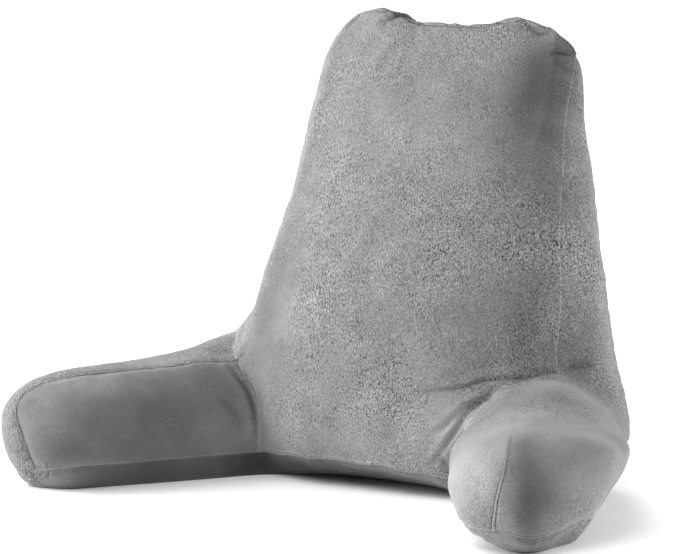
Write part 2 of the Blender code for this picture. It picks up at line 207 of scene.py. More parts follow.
# A fold is a soft trough pressed in along grid places (column, row, layer). Behind the places stand its
# depth and width in millimetres, and how far the cloth stands up left and right of its run, as shares of
# the depth.
FOLDS = (
    # where the right arm's root drags the front panel
    (((1.2, 3.74, 0), (1.8, 3.84, 0), (2.25, 3.92, 0), (2.6, 4.11, 0), (3.1, 4.17, 0), (4.1, 4.09, 0),
      (4.7, 4.03, 0), (5, 4.03, 0.03)), 3, 2.1, (0.25, 0.0)),
    (((3.6, 4.22, 0), (4.1, 4.22, 0), (4.7, 4.1, 0), (5, 4.04, 0.0)), 1.6, 2.8, (0.3, 0.3)),
    (((2.97, 3.9, 0), (2.74, 3.45, 0), (2.64, 3.15, 0), (2.49, 2.7, 0), (2.1, 2.35, 0)),
     2.8, 3.2, (0.6, 0.3)),
    (((2.97, 3.9, 0), (2.83, 3.1, 0), (2.78, 2.7, 0), (2.55, 2.15, 0), (2.15, 1.6, 0), (1.9, 1.25, 0)),
     3.6, 2.6, (0.5, 0.4)),
    (((2.36, 1.85, 0), (2.4, 1.2, 0)), 1.8, 3, (0.4, 0.4)),
    (((5, 4.03, 0.03), (5, 4.09, 0.31), (5, 4.13, 0.72)), 3, 5, (0.3, 0.0)),
    # beside the left arm's root
    (((-3, 3.92, -0.34), (-3, 3.32, -0.23), (-3, 2.79, -0.1), (-3, 2.18, -0.07), (-3, 1.54, -0.05)),
     3.4, 2.6, (0.3, 0.3)),
    (((-2.95, 3.8, 0), (-2.92, 3.2, 0), (-2.94, 2.4, 0), (-2.96, 1.7, 0)), 1.3, 1.7, (0.5, 0.5)),
    (((-3, 2.9, -0.95), (-3, 2.46, -0.62), (-3, 2.09, -0.47), (-3, 1.8, -0.38)), 1.6, 5, (0.3, 0.3)),
    (((-5, 4.15, 0.1), (-4.3, 4.22, 0), (-3.3, 4.26, 0)), 1.4, 2.6, (0.4, 0.4)),
    # where the left arm's foot seam meets its tip
    (((-3, 1.26, -5.5), (-3, 1.12, -5.56), (-3, 1.0, -5.62)), 1.2, 1.4, (0.4, 0.4)),
    (((-3, 0.98, -5.5), (-3, 0.85, -5.6), (-3, 0.7, -5.7)), 1.2, 1.4, (0.4, 0.4)),
    (((-3, 0.95, -5.7), (-3.05, 0.8, -5.95), (-3.3, 0.65, -6)), 1.4, 1.6, (0.4, 0.4)),
    # the left ear
    (((-2.05, 9.82, 0), (-1.85, 9.88, 0), (-1.62, 9.94, 0), (-1.45, 10, 0.12), (-1.26, 10, 0.3),
      (-0.85, 10, 0.3)), 4, 2.6, (0.5, 0.2)),
    (((-2.1, 10, 0.1), (-1.8, 10, 0.22), (-1.55, 10, 0.4), (-1.3, 10, 0.6)), 4.4, 3.4, (0.4, 0.3)),
    (((-3.2, 9.82, 0), (-2.97, 9.9, 0), (-2.75, 9.99, 0)), 1.6, 1.8, (0.4, 0.4)),
    (((-1.65, 9.35, 0), (-1.2, 9.62, 0), (-0.75, 9.88, 0)), 0.9, 4, (0.5, 0.2)),
    (((-0.98, 8.5, 0), (-0.6, 8.77, 0), (-0.2, 9.02, 0)), 0.8, 3.5, (0.5, 0.2)),
    # the right ear
    (((1.05, 10, 0.2), (1.35, 10, 0.08), (1.7, 10, 0.03)), 2.2, 2.2, (0.4, 0.2)),
    (((2.15, 9.99, 0), (2.4, 9.95, 0), (2.6, 9.92, 0)), 2, 2.2, (0.4, 0.2)),
    (((2.35, 9.88, 0), (2.65, 9.9, 0), (3.05, 9.94, 0)), 2.4, 2.4, (0.4, 0.2)),
    (((3.3, 9.6, 0), (3.95, 9.73, 0), (4.35, 9.78, 0), (4.83, 9.92, 0)), 2.2, 2.2, (0.2, 0.5)),
    (((3.8, 9.57, 0), (4.44, 9.57, 0), (4.78, 9.53, 0), (5, 9.49, 0.18)), 1.2, 2.6, (0.3, 0.3)),
)
FOLD_STEP = 0.001
FOLD_GRID_STEP = 0.12  # a fold's line is looked up on the skin at this spacing of its places,
FOLD_NEIGHBOURS = 4  # between this many vertices,
FOLD_NEARNESS = 1e-4  # whose weights fall off from this distance on the grid,
FOLD_SMOOTHING = 40  # and is smoothed in this many rounds
FOLD_REACH = 4.0  # a fold moves the cloth this many widths out from its line
FOLD_ENDS = 0.7  # how suddenly it starts and ends
LIP_PLACE = 1.9  # in widths from its line
LIP_SPREAD = 0.8
DEEP_FOLD = 4.0  # a fold this deep gets the darkest painted shade
FOLD_PAINTED_SHADE = 0.50  # how much painted shade darkens the pile at the bottom of a deep fold

# A nudge moves the cloth round a centre, fully there and fading out at the radius. Centre, radius and move
# are in millimetres.
NUDGES = (
    ((-188, -34, 122), 45, (0, 0, 11.5)),  # the left arm's root is stuffed fuller
    ((-178, -3, 165), 55, (2, 0, 0)),  # and the side above it is drawn in
    ((-210, -100, 116), 40, (0, 0, -4.5)),  # the left arm's top
    ((-266, -232, 100), 35, (3, 0, -1.5)),  # the left tip is rounder
    ((-282, -258, 36), 40, (2.2, 1.5, 0)),
    ((172, -174, 80), 50, (-3.5, -2, 0)),  # the right arm's inner panel is full
    ((208, -250, 47), 25, (3.3, 2.3, 0)),  # and its tip is rounded below
    ((226, -222, 0), 34, (4.5, 4.5, 4)),
    ((262, -236, 0), 40, (-1, 4.5, 4)),
    ((298, -196, 4), 40, (-3.5, 1, 2)),
    ((316, -152, 52), 38, (-4.2, -1, 0)),
    ((306, -116, 90), 26, (3.6, 1.5, 0)),
    ((-74, -79, 22), 22, (0, 0, 2.2)),  # the front's bottom seam runs askew
    ((0, -90, 26), 30, (0, 0, -3)),
    ((52, -84, 26), 26, (0, 0, -2)),
    ((97, -74, 22), 30, (0, 0, -3.8)),
    ((222, 45, 68), 60, (-3, -1, 0)),  # the right side is drawn in
    ((100, 75, 436.5), 32, (0, 0, -8.8)),  # the right ear is lower
    ((133, 75, 410), 22, (0, 0, -4)),
    ((-76, 79, 441), 30, (0, 0, 3)),  # and the left ear more peaked
    ((-60, 78, 437), 22, (0, 0, 3.5)),
    ((-130, 60, 400), 50, (-4, 0, 0)),
)

# A stroke paints light or shade round a place and makes the pile smoother there: its
# centre and radii in millimetres, its tone (above 0 is painted light, below 0 painted shade) and how sleek
# the pile is there
PAINTED_LIGHT_STROKES = (
    ((-170, -155, 65), (60, 90, 45), -0.34, 0.0),  # the left inner panel
    ((-190, -200, 35), (80, 100, 30), -0.36, 0.0),
    ((-228, -245, 43), (30, 30, 25), -0.4, 0.0),
    ((-240, -232, 96), (40, 40, 18), 0.45, 0.0),
    ((-215, -150, 110), (50, 100, 13), 0.5, 0.4),  # and the strip above it
    ((-183, -40, 124), (30, 30, 20), 0.4, 0.7),  # and the arm's root
    ((-112, -60, 110), (35, 50, 90), 0.05, 0.85),
    ((-126, -45, 168), (18, 40, 40), -0.3, 0.2),
    ((-150, -92, 55), (30, 30, 40), -0.25, 0.0),
    ((120, 26, 335), (42, 40, 110), -0.42, 0.5),  # the front's right edge
    ((112, 50, 395), (38, 50, 50), -0.55, 0.6),
    ((152, -35, 160), (30, 35, 35), -0.35, 0.2),
    ((-125, -25, 235), (22, 50, 100), -0.2, 0.0),  # and its left edge
    ((0, -93, 45), (110, 30, 20), 0.1, 0.5),  # and its foot
    ((10, 20, 330), (50, 50, 45), 0.0, 0.55),  # and its middle
    ((100, -30, 180), (40, 40, 45), 0.0, 0.55),
    ((-90, 70, 430), (50, 30, 20), 0.15, 0.3),  # the left ear
    ((-60, 80, 437), (14, 10, 7), -0.45, 0.3),
    ((100, -86, 74), (32, 30, 42), 0.55, 0.8),  # beside the right arm
    ((212, -230, 80), (55, 75, 60), 0.52, 0.9),  # the right inner panel
    ((288, -248, 50), (28, 32, 48), -0.74, 0.85),  # the right arm's tip
    ((280, -236, 8), (36, 40, 14), -0.3, 0.8),
    ((215, -105, 112), (35, 35, 22), -0.16, 0.0),  # and its top
    ((285, -190, 100), (45, 70, 22), 0.16, 0.3),
    ((300, -165, 80), (40, 80, 55), 0.08, 0.9),  # and its outside
)
# The same for the cloth below the bottom seam alone: painted shade under the cushions
PAINTED_SHADE_BELOW = (
    ((-170, -160, 6), (90, 110, 20), -0.45, 0.0),
    ((-35, -62, 12), (140, 45, 40), -1.0, 0.4),
)

SKIN_LEVELS = 4
REFINE_REACH = 0.0062  # the mesh is split once more within this distance of a seam or fold,
REFINE_EVERY = 4  # measured to every fourth of its points
LUMPS = ((0.075, 0.0016), (0.030, 0.0006))  # size and height of the filling's unevenness
LUMPS_FULL = 0.03  # it comes in over this height from the floor
SEED = 7
SEAM_FADE = 0.05  # the pile's look changes over this much of the grid beside a seam,
ROOT_FADE = 0.3  # and over this much where the arm begins
LEFT_SLEEK = 0.8  # how sleek the left arm's inner panel is
CUT_TOLERANCE = 1e-6
MERGE_DISTANCE = 2e-6

# ---- The pile ----

# A noise that shades the pile: scale, detail and roughness, and the stretch and turn of its coordinates
Noise = namedtuple("Noise", "scale detail roughness stretch turn", defaults=(None, None))
STREAKS = Noise(1000.0, 0.0, 0.5, (1.0, 0.4, 0.55), (0.0, 0.25, 0.0))
PEBBLES = Noise(560.0, 0.0, 0.5, (1.0, 0.4, 0.6), (0.0, -0.3, 0.0))
PATCHES = Noise(11.0, 3.0, 0.55)
CLOUDS = Noise(34.0, 3.0, 0.6)
DRIFT_SCALE = 9.0  # of the noise that bends the streaks,
DRIFT = 0.03  # and how far it does so
STREAK_CONTRAST = 2.1  # of the grain
PEBBLE_CONTRAST = 0.5
PEBBLED = (0.36, 0.66, 0.45, 1.1)  # the patches' values, and how strong the grain is there
PATCH_TONE = 0.65  # how much each shades the pile
CLOUD_TONE = 0.75
GRAIN_TONE = 1.45
GRAIN_ROUGHNESS = (-0.3, 0.3, 0.95, 0.75)  # the grain's values, and how rough the pile is there
SPECULAR = 0.25
GRAIN_HEIGHT = 0.0011  # of the bumps
CLOUD_HEIGHT = 0.0003
LINE_DEPTH = 0.0008
BUMP_STRENGTH = 0.8
LINE_WIDTH = 0.0012  # from the middle of a seam's line to its edge
STITCH_LINE_WIDTH = 0.0010  # the same for the second row of stitches
STITCH_CONTRAST = 0.3


def mixed(start, end, share):
    """The value that lies this share of the way from start to end."""
    return start + (end - start) * share


# ---- The skin ----

def front_point(column, row):
    """A point of the front panel, or of the arm's root below it."""
    level = LEVELS[max(row, 1) - 1]
    to_corner = COLUMN_SHARES[min(column, CORNER_COLUMN)]
    share = max(column - CORNER_COLUMN, 0) / (COLUMNS - CORNER_COLUMN)
    if column > CORNER_COLUMN:
        x = mixed(level.corner_x, level.seam_x, share)
        y = mixed(level.corner_y, level.seam_y, share)
        y -= (PANEL_CROWN if row > ARM_ROW else TOP_STRIP_CROWN) * (column < COLUMNS)
    else:
        x = level.corner_x * to_corner
        y = mixed(level.middle_y, level.corner_y, to_corner ** PANEL_ROUNDING)
    height = level.height
    if row == 0:
        y += mixed(ARCH_DEPTH, BASE_INSET, to_corner ** ARCH_NARROWING)
        height = mixed(ARCH_HEIGHT, UNDER_FLOOR, to_corner ** ARCH_NARROWING)
    elif row == 1:
        height += FLOOR_ARCH_RISE * (1.0 - to_corner)
    elif row == ARM_ROW:
        height = mixed(CORNER_TOP.z, SEAM_END.z, share)
    elif row == TOP_ROW:
        height += FRONT_RISE[column]
    return Vector((x, y, height))


def back_point(column, row):
    """A point of the back panel, fullest on the centre line."""
    level = LEVELS[max(row, 1) - 1]
    share = column / COLUMNS
    from_middle = abs(2 * row / TOP_ROW - 1)
    fullness = (1.0 - share ** 2) ** BACK_ROUNDING * (1.0 - BELLY_TAPER * from_middle)
    y = level.back_y + BACK_BELLY * fullness
    height = level.height
    if row == TOP_ROW:
        height += BACK_RISE[column]
    if row == 0:
        y -= BASE_INSET
        height = UNDER_FLOOR
    return Vector((level.back_x * share, y, height))


def middle_point(column, row):
    """A point halfway between front and back: on a side panel, on the crest or under the base."""
    level = LEVELS[max(row, 1) - 1]
    share = column / COLUMNS
    if row == 0:
        inset = BASE_INSET * (column == COLUMNS)
        return Vector((level.side_x * share - inset, BASE_MIDDLE, UNDER_FLOOR))
    y = mixed(CREST_DEPTH, level.side_y, share)
    rise = {TOP_ROW: CREST_RISE[column], ARM_ROW: SHOULDER_RISE}.get(row, 0.0)
    return Vector((level.side_x * share, y, level.height + rise))


def arm_place(along, across, height):
    """A place on the right-hand arm, from the top end of its inner seam."""
    place = CORNER_TOP + ALONG_ARM * along + ACROSS_ARM * across
    place.z = height
    return place


def arm_point(column, row, layer):
    """A point on a station of the arm; column 3 is its inner face, 4 its middle and 5 its outer face."""
    station = STATIONS[-layer - 1]
    roundness = (station.along / STATIONS[-1].along) ** END_ROUNDING
    inwards = BASE_INSET * (1.0 + roundness) * (row == 0)
    face = max(row, 1) - 1
    if column == CORNER_COLUMN:
        across, top = station.inner[face] + inwards, station.inner_top
    elif column == COLUMNS:
        across, top = station.outer[face] - inwards, station.outer_top
    else:
        across, top = mixed(station.inner[face], station.outer[face], 0.5), station.crest
    height = (UNDER_FLOOR, *FACE_HEIGHTS, top)[row]
    along = station.along - OUTER_SHORTER * roundness * (column - CORNER_COLUMN) / 2
    along -= TIP_INSET * roundness * (row == 0)
    return arm_place(along, across, height)


def tip_point(column, row):
    """A point on the arm's round tip."""
    along, across, height = TIP[column - CORNER_COLUMN][max(row, 1) - 1]
    if row == 0:
        gathered = mixed(across, TIP[1][0][1], TIP_GATHER)
        return arm_place(along * MM - TIP_INSET, gathered * MM, TIP_UNDER_FLOOR)
    return arm_place(along * MM, across * MM, height * MM)


def surface_point(column, row, layer):
    """The point of the finished skin that belongs to one vertex of the grid."""
    side = abs(column)
    if layer == TIP_LAYER:
        point = tip_point(side, row)
    elif layer < 0:
        point = arm_point(side, row, layer)
    elif layer == 0:
        point = front_point(side, row)
    elif layer == BACK_LAYER:
        point = back_point(side, row)
    else:
        point = middle_point(side, row)
    point.x = copysign(point.x, column)
    return point


def all_sewn():
    """Every sewn line of both halves, as (line, its grid places)."""
    lines = [(line, tuple((column * side, row, layer) for column, row, layer in line.places))
             for side in (-1, 1) for line in SEWN]
    return lines + [(line, line.places) for line in SEWN_ACROSS]


def crease_between(first, second, lines):
    """How sharp the cage edge between two grid places is: 0 where it lies on no sewn line."""
    for line, places in lines:
        for start, end in zip(places, places[1:]):
            spans = [sorted(pair) for pair in zip(start, end)]
            if all(low <= value <= high for point in (first, second)
                   for value, (low, high) in zip(point, spans)):
                return line.crease
    return 0.0


def grid_body():
    """The cage: a block cut along the grid's planes, with an arm drawn forward on each side."""
    body = bmesh.new()
    bmesh.ops.create_cube(body, size=1.0)
    bmesh.ops.scale(body, vec=(2.0 * COLUMNS, TOP_ROW, BACK_LAYER), verts=body.verts)
    bmesh.ops.translate(body, vec=(0.0, TOP_ROW / 2, BACK_LAYER / 2), verts=body.verts)
    cuts = [((1, 0, 0), column) for column in range(1 - COLUMNS, COLUMNS)]
    cuts += [((0, 1, 0), row) for row in range(1, TOP_ROW)]
    cuts += [((0, 0, 1), layer) for layer in range(1, BACK_LAYER)]
    for normal, distance in cuts:
        everything = body.verts[:] + body.edges[:] + body.faces[:]
        bmesh.ops.bisect_plane(body, geom=everything, dist=GRID_TOLERANCE,
                               plane_co=Vector(normal) * distance, plane_no=normal)
    for side in (-1, 1):
        for step in range(-TIP_LAYER):
            root = [face for face in body.faces if is_arm_end(face, side, -step)]
            drawn = bmesh.ops.extrude_face_region(body, geom=root)
            moved = [item for item in drawn["geom"] if isinstance(item, bmesh.types.BMVert)]
            bmesh.ops.translate(body, vec=(0.0, 0.0, -1.0), verts=moved)
            bmesh.ops.delete(body, geom=[face for face in root if face.is_valid], context="FACES")
    return body


def is_arm_end(face, side, layer):
    """Whether a face closes the front of an arm that has grown as far as this layer."""
    centre = face.calc_center_median()
    across = centre.x * side
    return abs(centre.z - layer) < GRID_TOLERANCE and CORNER_COLUMN < across < COLUMNS and centre.y < ARM_ROW


def placed(name, data):
    """A new object in the scene that holds this data."""
    thing = bpy.data.objects.new(name, data)
    bpy.context.scene.collection.objects.link(thing)
    return thing


def evaluated_mesh(thing):
    """A new mesh of the object with its modifiers applied."""
    bpy.context.view_layer.update()
    return bpy.data.meshes.new_from_object(thing.evaluated_get(bpy.context.evaluated_depsgraph_get()))


def smooth_skin():
    """The whole cover as one smooth closed mesh through the tables' points; each vertex knows its place."""
    cage = grid_body()
    bmesh.ops.recalc_face_normals(cage, faces=cage.faces)
    # rows run along Z and layers along Y, so the grid is a mirror image of the body
    bmesh.ops.reverse_faces(cage, faces=cage.faces)
    crease = cage.edges.layers.float.new("crease_edge")
    place_of = cage.verts.layers.float_vector.new("place")
    places = [tuple(round(value) for value in vertex.co) for vertex in cage.verts]
    cage.verts.index_update()
    lines = all_sewn()
    for vertex, place in zip(cage.verts, places):
        vertex[place_of] = Vector(place)
        vertex.co = surface_point(*place)
    for edge in cage.edges:
        edge[crease] = crease_between(*[places[vertex.index] for vertex in edge.verts], lines)
    goals = [vertex.co.copy() for vertex in cage.verts]
    mesh = bpy.data.meshes.new("skin")
    cage.to_mesh(mesh)
    cage.free()
    body = placed("skin", mesh)
    smoothing = body.modifiers.new("smoothing", "SUBSURF")
    smoothing.levels = smoothing.render_levels = FITTING_LEVELS
    for _ in range(FITTING_ROUNDS):
        fitted = evaluated_mesh(body)
        for vertex, reached, place, goal in zip(mesh.vertices, fitted.vertices, places, goals):
            if place[1] > 0:
                vertex.co += goal - reached.co
        bpy.data.meshes.remove(fitted)
        mesh.update()
    smoothing.levels = smoothing.render_levels = SKIN_LEVELS
    skin = evaluated_mesh(body)
    bpy.data.objects.remove(body)
    bpy.data.meshes.remove(mesh)
    return skin


# ---- Shaping the skin ----

def column_of(mesh, name):
    """The vertices' co or normal, or an attribute of vectors, as an array with one row per vertex."""
    values = np.empty(len(mesh.vertices) * 3)
    if name in ("co", "normal"):
        mesh.vertices.foreach_get(name, values)
    else:
        mesh.attributes[name].data.foreach_get("vector", values)
    return values.reshape(-1, 3)


def along_places(co, place, places):
    """The skin's points along a sewn line, which follows grid lines between the places."""
    pieces = []
    for start, end in zip(np.array(places, float), np.array(places[1:], float)):
        axis = int(np.argmax(np.abs(end - start)))
        others = [index for index in range(3) if index != axis]
        low, high = sorted((start[axis], end[axis]))
        on = np.abs(place[:, others] - start[others]).max(axis=1) < GRID_TOLERANCE
        on &= (place[:, axis] > low - GRID_TOLERANCE) & (place[:, axis] < high + GRID_TOLERANCE)
        chosen = np.flatnonzero(on)
        order = np.argsort(place[chosen, axis] * (1.0 if end[axis] > start[axis] else -1.0))
        pieces.append(co[chosen[order]])
    return np.concatenate(pieces)


def resampled(points, step):
    """Points at an even spacing along a run of points, and their distance along it."""
    lengths = np.linalg.norm(np.diff(points, axis=0), axis=1)
    along = np.concatenate(([0.0], np.cumsum(lengths)))
    even = np.linspace(0.0, along[-1], max(int(along[-1] / step), 4))
    return np.stack([np.interp(even, along, points[:, axis]) for axis in range(3)], axis=1), even


def fold_line(places, place_tree, co):
    """The rounded line on the skin along a fold's grid places, and the distance along it."""
    points = []
    for place in resampled(np.array(places, float), FOLD_GRID_STEP)[0]:
        found = place_tree.find_n(place, FOLD_NEIGHBOURS)
        weights = np.array([1.0 / (distance + FOLD_NEARNESS) for _, _, distance in found])
        spots = np.array([co[index] for _, index, _ in found])
        points.append((spots * weights[:, None]).sum(axis=0) / weights.sum())
    line, along = resampled(np.array(points), FOLD_STEP)
    for _ in range(FOLD_SMOOTHING):
        line[1:-1] = (line[:-2] + 2.0 * line[1:-1] + line[2:]) / 4.0
    return line, along


def tree_of(points):
    """A search tree of points."""
    tree = KDTree(len(points))
    for index, point in enumerate(points):
        tree.insert(point, index)
    tree.balance()
    return tree


def nearest(co, line, reach):
    """For the vertices within reach of a line: their indices, distance and nearest point's index."""
    near = np.flatnonzero(((co > line.min(axis=0) - reach) & (co < line.max(axis=0) + reach)).all(axis=1))
    tree = tree_of(line)
    found = [tree.find(co[index]) for index in near]
    distance = np.array([item[2] for item in found])
    spot = np.array([item[1] for item in found], dtype=int)
    within = distance < reach
    return near[within], distance[within], spot[within]


def refined(skin, lines):
    """Split the mesh more finely along the seams and folds."""
    mesh = bmesh.new()
    mesh.from_mesh(skin)
    tree = tree_of(np.concatenate(lines)[::REFINE_EVERY])
    close = [tree.find(vertex.co)[2] < REFINE_REACH for vertex in mesh.verts]
    edges = [edge for edge in mesh.edges if all(close[vertex.index] for vertex in edge.verts)]
    bmesh.ops.subdivide_edges(mesh, edges=edges, cuts=1, use_grid_fill=True)
    mesh.to_mesh(skin)
    mesh.free()
    skin.update()


def wavering(rng, length, pitch):
    """Smooth random heights along a line: a function of the distance along it."""
    # two knots stand before the line's start, and more than two behind its end
    count = int(length / pitch) + 6
    knots = (np.arange(count) - 2 + rng.uniform(-WAVE_JITTER, WAVE_JITTER, count)) * pitch
    heights = rng.uniform(-1.0, 1.0, count)
    fine = np.linspace(knots[0], knots[-1], count * WAVE_SAMPLES)
    values = np.interp(fine, knots, heights)
    kernel = np.hanning(WAVE_SAMPLES + 1)
    values = np.convolve(values, kernel / kernel.sum(), mode="same")
    return lambda along: np.interp(along, fine, values) * NOISE_GAIN


def on_upper_side(upper, place):
    """1 for the places on the upper side of a seam, else -1."""
    axis, limit, way = upper
    value = np.abs(place[:, axis]) if axis == 0 else place[:, axis]
    return np.where((value - limit) * way > GRID_TOLERANCE, 1.0, -1.0)


def beyond_ends(co, spine, spot):
    """Whether each vertex lies past one of the ends of a seam, rather than beside it."""
    first = (spot == 0) & ((co - spine[0]) @ (spine[0] - spine[END_STEPS]) > 0.0)
    last = (spot == len(spine) - 1) & ((co - spine[-1]) @ (spine[-1] - spine[-1 - END_STEPS]) > 0.0)
    return first | last


def sew(co, place, lines, rng):
    """How far the seams push each vertex along its normal, and each vertex's place beside its seam.

    That place is the distance from the nearest seam, above 0 on its upper side, the distance along it
    and the strength of its lap; with it comes the seam's painted shade or highlight, which is how much
    darker or paler the seam's line is.
    """
    trough, raised, seam_light_and_shade = np.zeros((3, len(co)))
    closest = np.full(len(co), SEAM_REACH)
    beside = np.zeros((len(co), 3))
    beside[:, 0] = SEAM_REACH
    for (line, places), points in lines:
        sunk, reach, painted_seam_tone = SEAM_PROFILES[line.profile]
        spine, along = resampled(points, SEAM_STEP)
        near, distance, spot = nearest(co, spine, SEAM_REACH)
        run, lap = (line.left, line.laps[0]) if places[0][0] < 0 else (line.right, line.laps[1])
        shows = np.interp(along[spot], np.linspace(0.0, along[-1], len(run)), run)
        side = on_upper_side(line.upper, place[near])
        depth = sunk * shows * np.exp(-(distance / reach) ** 2)
        inside = distance / LAP_WIDTH
        bead = np.clip(1.0 - (2.0 * inside - 1.0) ** 4, 0.0, 1.0) * (inside < 1.0) * (side > 0)
        waves = np.where(side > 0, wavering(rng, along[-1], PUCKER_PITCH)(along[spot]),
                         wavering(rng, along[-1], LOWER_PUCKER_PITCH)(along[spot]))
        away = distance / PUCKER_REACH
        pucker = PUCKER_HEIGHT * line.pucker * waves * away * np.exp(1.0 - PUCKER_FADE * away)
        pucker *= np.minimum(shows, 1.0)
        trough[near] = np.maximum(trough[near], depth)
        raised[near] += LAP_HEIGHT * lap * shows * bead + pucker
        chosen = (distance < closest[near]) & ~beyond_ends(co[near], spine, spot)
        picked = near[chosen]
        closest[picked] = distance[chosen]
        beside[picked, 0] = (side * distance)[chosen]
        beside[picked, 1] = along[spot][chosen]
        fading = np.clip((SEAM_SHADE_REACH - distance) / (0.5 * SEAM_SHADE_REACH), 0.0, 1.0)
        beside[picked, 2] = (lap * fading)[chosen]
        seam_light_and_shade[picked] = (painted_seam_tone * shows * fading)[chosen]
    return raised - trough, beside, seam_light_and_shade


def press_folds(co, normal, lines):
    """How far the folds push each vertex along its normal, and how deep in a fold each vertex lies."""
    push, deep = np.zeros((2, len(co)))
    for (_, depth, width, lip), (line, along) in zip(FOLDS, lines):
        near, distance, spot = nearest(co, line, width * MM * FOLD_REACH)
        ends = np.clip(np.sin(pi * along[spot] / along[-1]), 0.0, 1.0) ** FOLD_ENDS
        across = np.cross(normal[near], np.gradient(line, axis=0)[spot])
        is_left = (across * (co[near] - line[spot])).sum(axis=1) > 0.0
        share = distance / (width * MM)
        valley = np.exp(-share ** 2)
        lips = np.exp(-((share - LIP_PLACE) / LIP_SPREAD) ** 2) * np.where(is_left, *lip)
        push[near] += depth * MM * ends * (lips - valley)
        deep[near] = np.maximum(deep[near], valley * ends * min(depth / DEEP_FOLD, 1.0))
    return push, deep


def unevenness(co):
    """The filling's lumps, as a height for each vertex."""
    heights = np.zeros(len(co))
    for size, height in LUMPS:
        heights += [height * NOISE_GAIN * noise.noise(Vector(point) / size) for point in co]
    return heights * np.clip(co[:, 2] / LUMPS_FULL, 0.0, 1.0)


def nudged(co):
    """The vertices with the listed nudges made."""
    for centre, radius, move in NUDGES:
        distance = np.linalg.norm(co / MM - centre, axis=1)
        share = np.clip(1.0 - (distance / radius) ** 2, 0.0, 1.0) ** 2
        co = co + share[:, None] * np.array(move) * MM
    return co


def painted_light_and_shade(co, place):
    """How much painted light or painted shade each vertex gets, and how strongly the pile is ruffled there.

    The left arm's inner panel is sleek all over.
    """
    column, row, layer = place.T
    inner = np.clip((CORNER_COLUMN + SEAM_FADE + column) / SEAM_FADE, 0.0, 1.0) * (column < 0.0)
    inner *= np.clip(-layer / ROOT_FADE, 0.0, 1.0) * (row < ARM_ROW - GRID_TOLERANCE)
    ruffled = 1.0 - LEFT_SLEEK * inner
    painted_tones = np.zeros(len(co))
    under = np.clip((1.0 - row) / SEAM_FADE, 0.0, 1.0)
    for painted_strokes, extent in ((PAINTED_LIGHT_STROKES, 1.0), (PAINTED_SHADE_BELOW, under)):
        for centre, radii, tone, sleek in painted_strokes:
            share = np.exp(-(((co / MM - centre) / radii) ** 2).sum(axis=1)) * extent
            painted_tones += tone * share
            ruffled *= 1.0 - sleek * share
    return painted_tones, ruffled


def cover_skin(settings):
    """The whole cover, stuffed, sewn and folded, before it is cut into cushions."""
    rng = np.random.default_rng(SEED)
    skin = smooth_skin()
    co = nudged(column_of(skin, "co"))
    skin.vertices.foreach_set("co", co.ravel())
    place = column_of(skin, "place")
    seams = [(entry, along_places(co, place, entry[1])) for entry in all_sewn()]
    place_tree = tree_of(place)
    folds = [fold_line(places, place_tree, co) for places, *_ in FOLDS]
    refined(skin, [resampled(points, SEAM_STEP)[0] for _, points in seams] + [line for line, _ in folds])
    co, normal, place = (column_of(skin, name) for name in ("co", "normal", "place"))
    seam_push, beside, seam_light_and_shade = sew(co, place, seams, rng)
    fold_push, deep = press_folds(co, normal, folds)
    push = unevenness(co) * settings.lumps + seam_push * settings.seams + fold_push * settings.folds
    co += normal * push[:, None]
    skin.vertices.foreach_set("co", co.ravel())
    painted_tones, ruffled = painted_light_and_shade(co, place)
    # painted light and shade: the strokes' tones, less painted shade at the bottom of the folds
    for name, value in (("seam_light_and_shade", seam_light_and_shade), ("painted_light_and_shade", painted_tones - FOLD_PAINTED_SHADE * deep), ("ruffled", ruffled)):
        skin.attributes.new(name, "FLOAT", "POINT").data.foreach_set("value", value)
    skin.attributes.new("beside", "FLOAT_VECTOR", "POINT").data.foreach_set("vector", beside.ravel())
    skin.update()
    return skin


# ---- Cutting the skin into cushions ----

def cut_off(solid, point, normal):
    """Remove what lies on the normal's side of a plane, and close the cut with a flat face."""
    everything = solid.verts[:] + solid.edges[:] + solid.faces[:]
    cut = bmesh.ops.bisect_plane(solid, geom=everything, dist=CUT_TOLERANCE, plane_co=point,
                                 plane_no=normal, clear_outer=True)
    rim = [item for item in cut["geom_cut"] if isinstance(item, bmesh.types.BMEdge)]
    bmesh.ops.holes_fill(solid, edges=rim, sides=0)
    for edge in rim:
        edge.smooth = False


def arm_plane(side):
    """The plane through the three corners of the seams round an arm's root; it faces the arm's tip."""
    normal = (CORNER_FOOT - CORNER_TOP).cross(SEAM_END - CORNER_TOP).normalized()
    mirror = Vector((side, 1.0, 1.0))
    return CORNER_TOP * mirror, normal * mirror


def cushion(node, skin, cuts, material):
    """One closed cushion: the skin cut by the floor and by the planes given, standing for one solid."""
    solid = bmesh.new()
    solid.from_mesh(skin)
    for face in solid.faces:
        face.smooth = True
    cut_off(solid, Vector((0.0, 0.0, 0.0)), Vector((0.0, 0.0, -1.0)))
    for point, normal in cuts:
        cut_off(solid, point, normal)
    bmesh.ops.remove_doubles(solid, verts=solid.verts, dist=MERGE_DISTANCE)
    bmesh.ops.triangulate(solid, faces=[face for face in solid.faces if len(face.verts) > 4])
    name = node + "_cushion"
    mesh = bpy.data.meshes.new(name)
    solid.to_mesh(mesh)
    solid.free()
    mesh.materials.append(material)
    piece = placed(name, mesh)
    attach(piece, "root")
    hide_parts(node)


# ---- Materials ----

class Wire:
    """An output of a shader node, which can be used in a sum on either side."""

    def __init__(self, bench, socket):
        self.bench = bench
        self.socket = socket

    def __add__(self, other):
        return self.bench.maths("ADD", self, other)

    def __sub__(self, other):
        return self.bench.maths("SUBTRACT", self, other)

    def __mul__(self, other):
        return self.bench.maths("MULTIPLY", self, other)

    def __abs__(self):
        return self.bench.maths("ABSOLUTE", self)

    def __rsub__(self, other):
        return self.bench.maths("SUBTRACT", other, self)

    __radd__, __rmul__ = __add__, __mul__


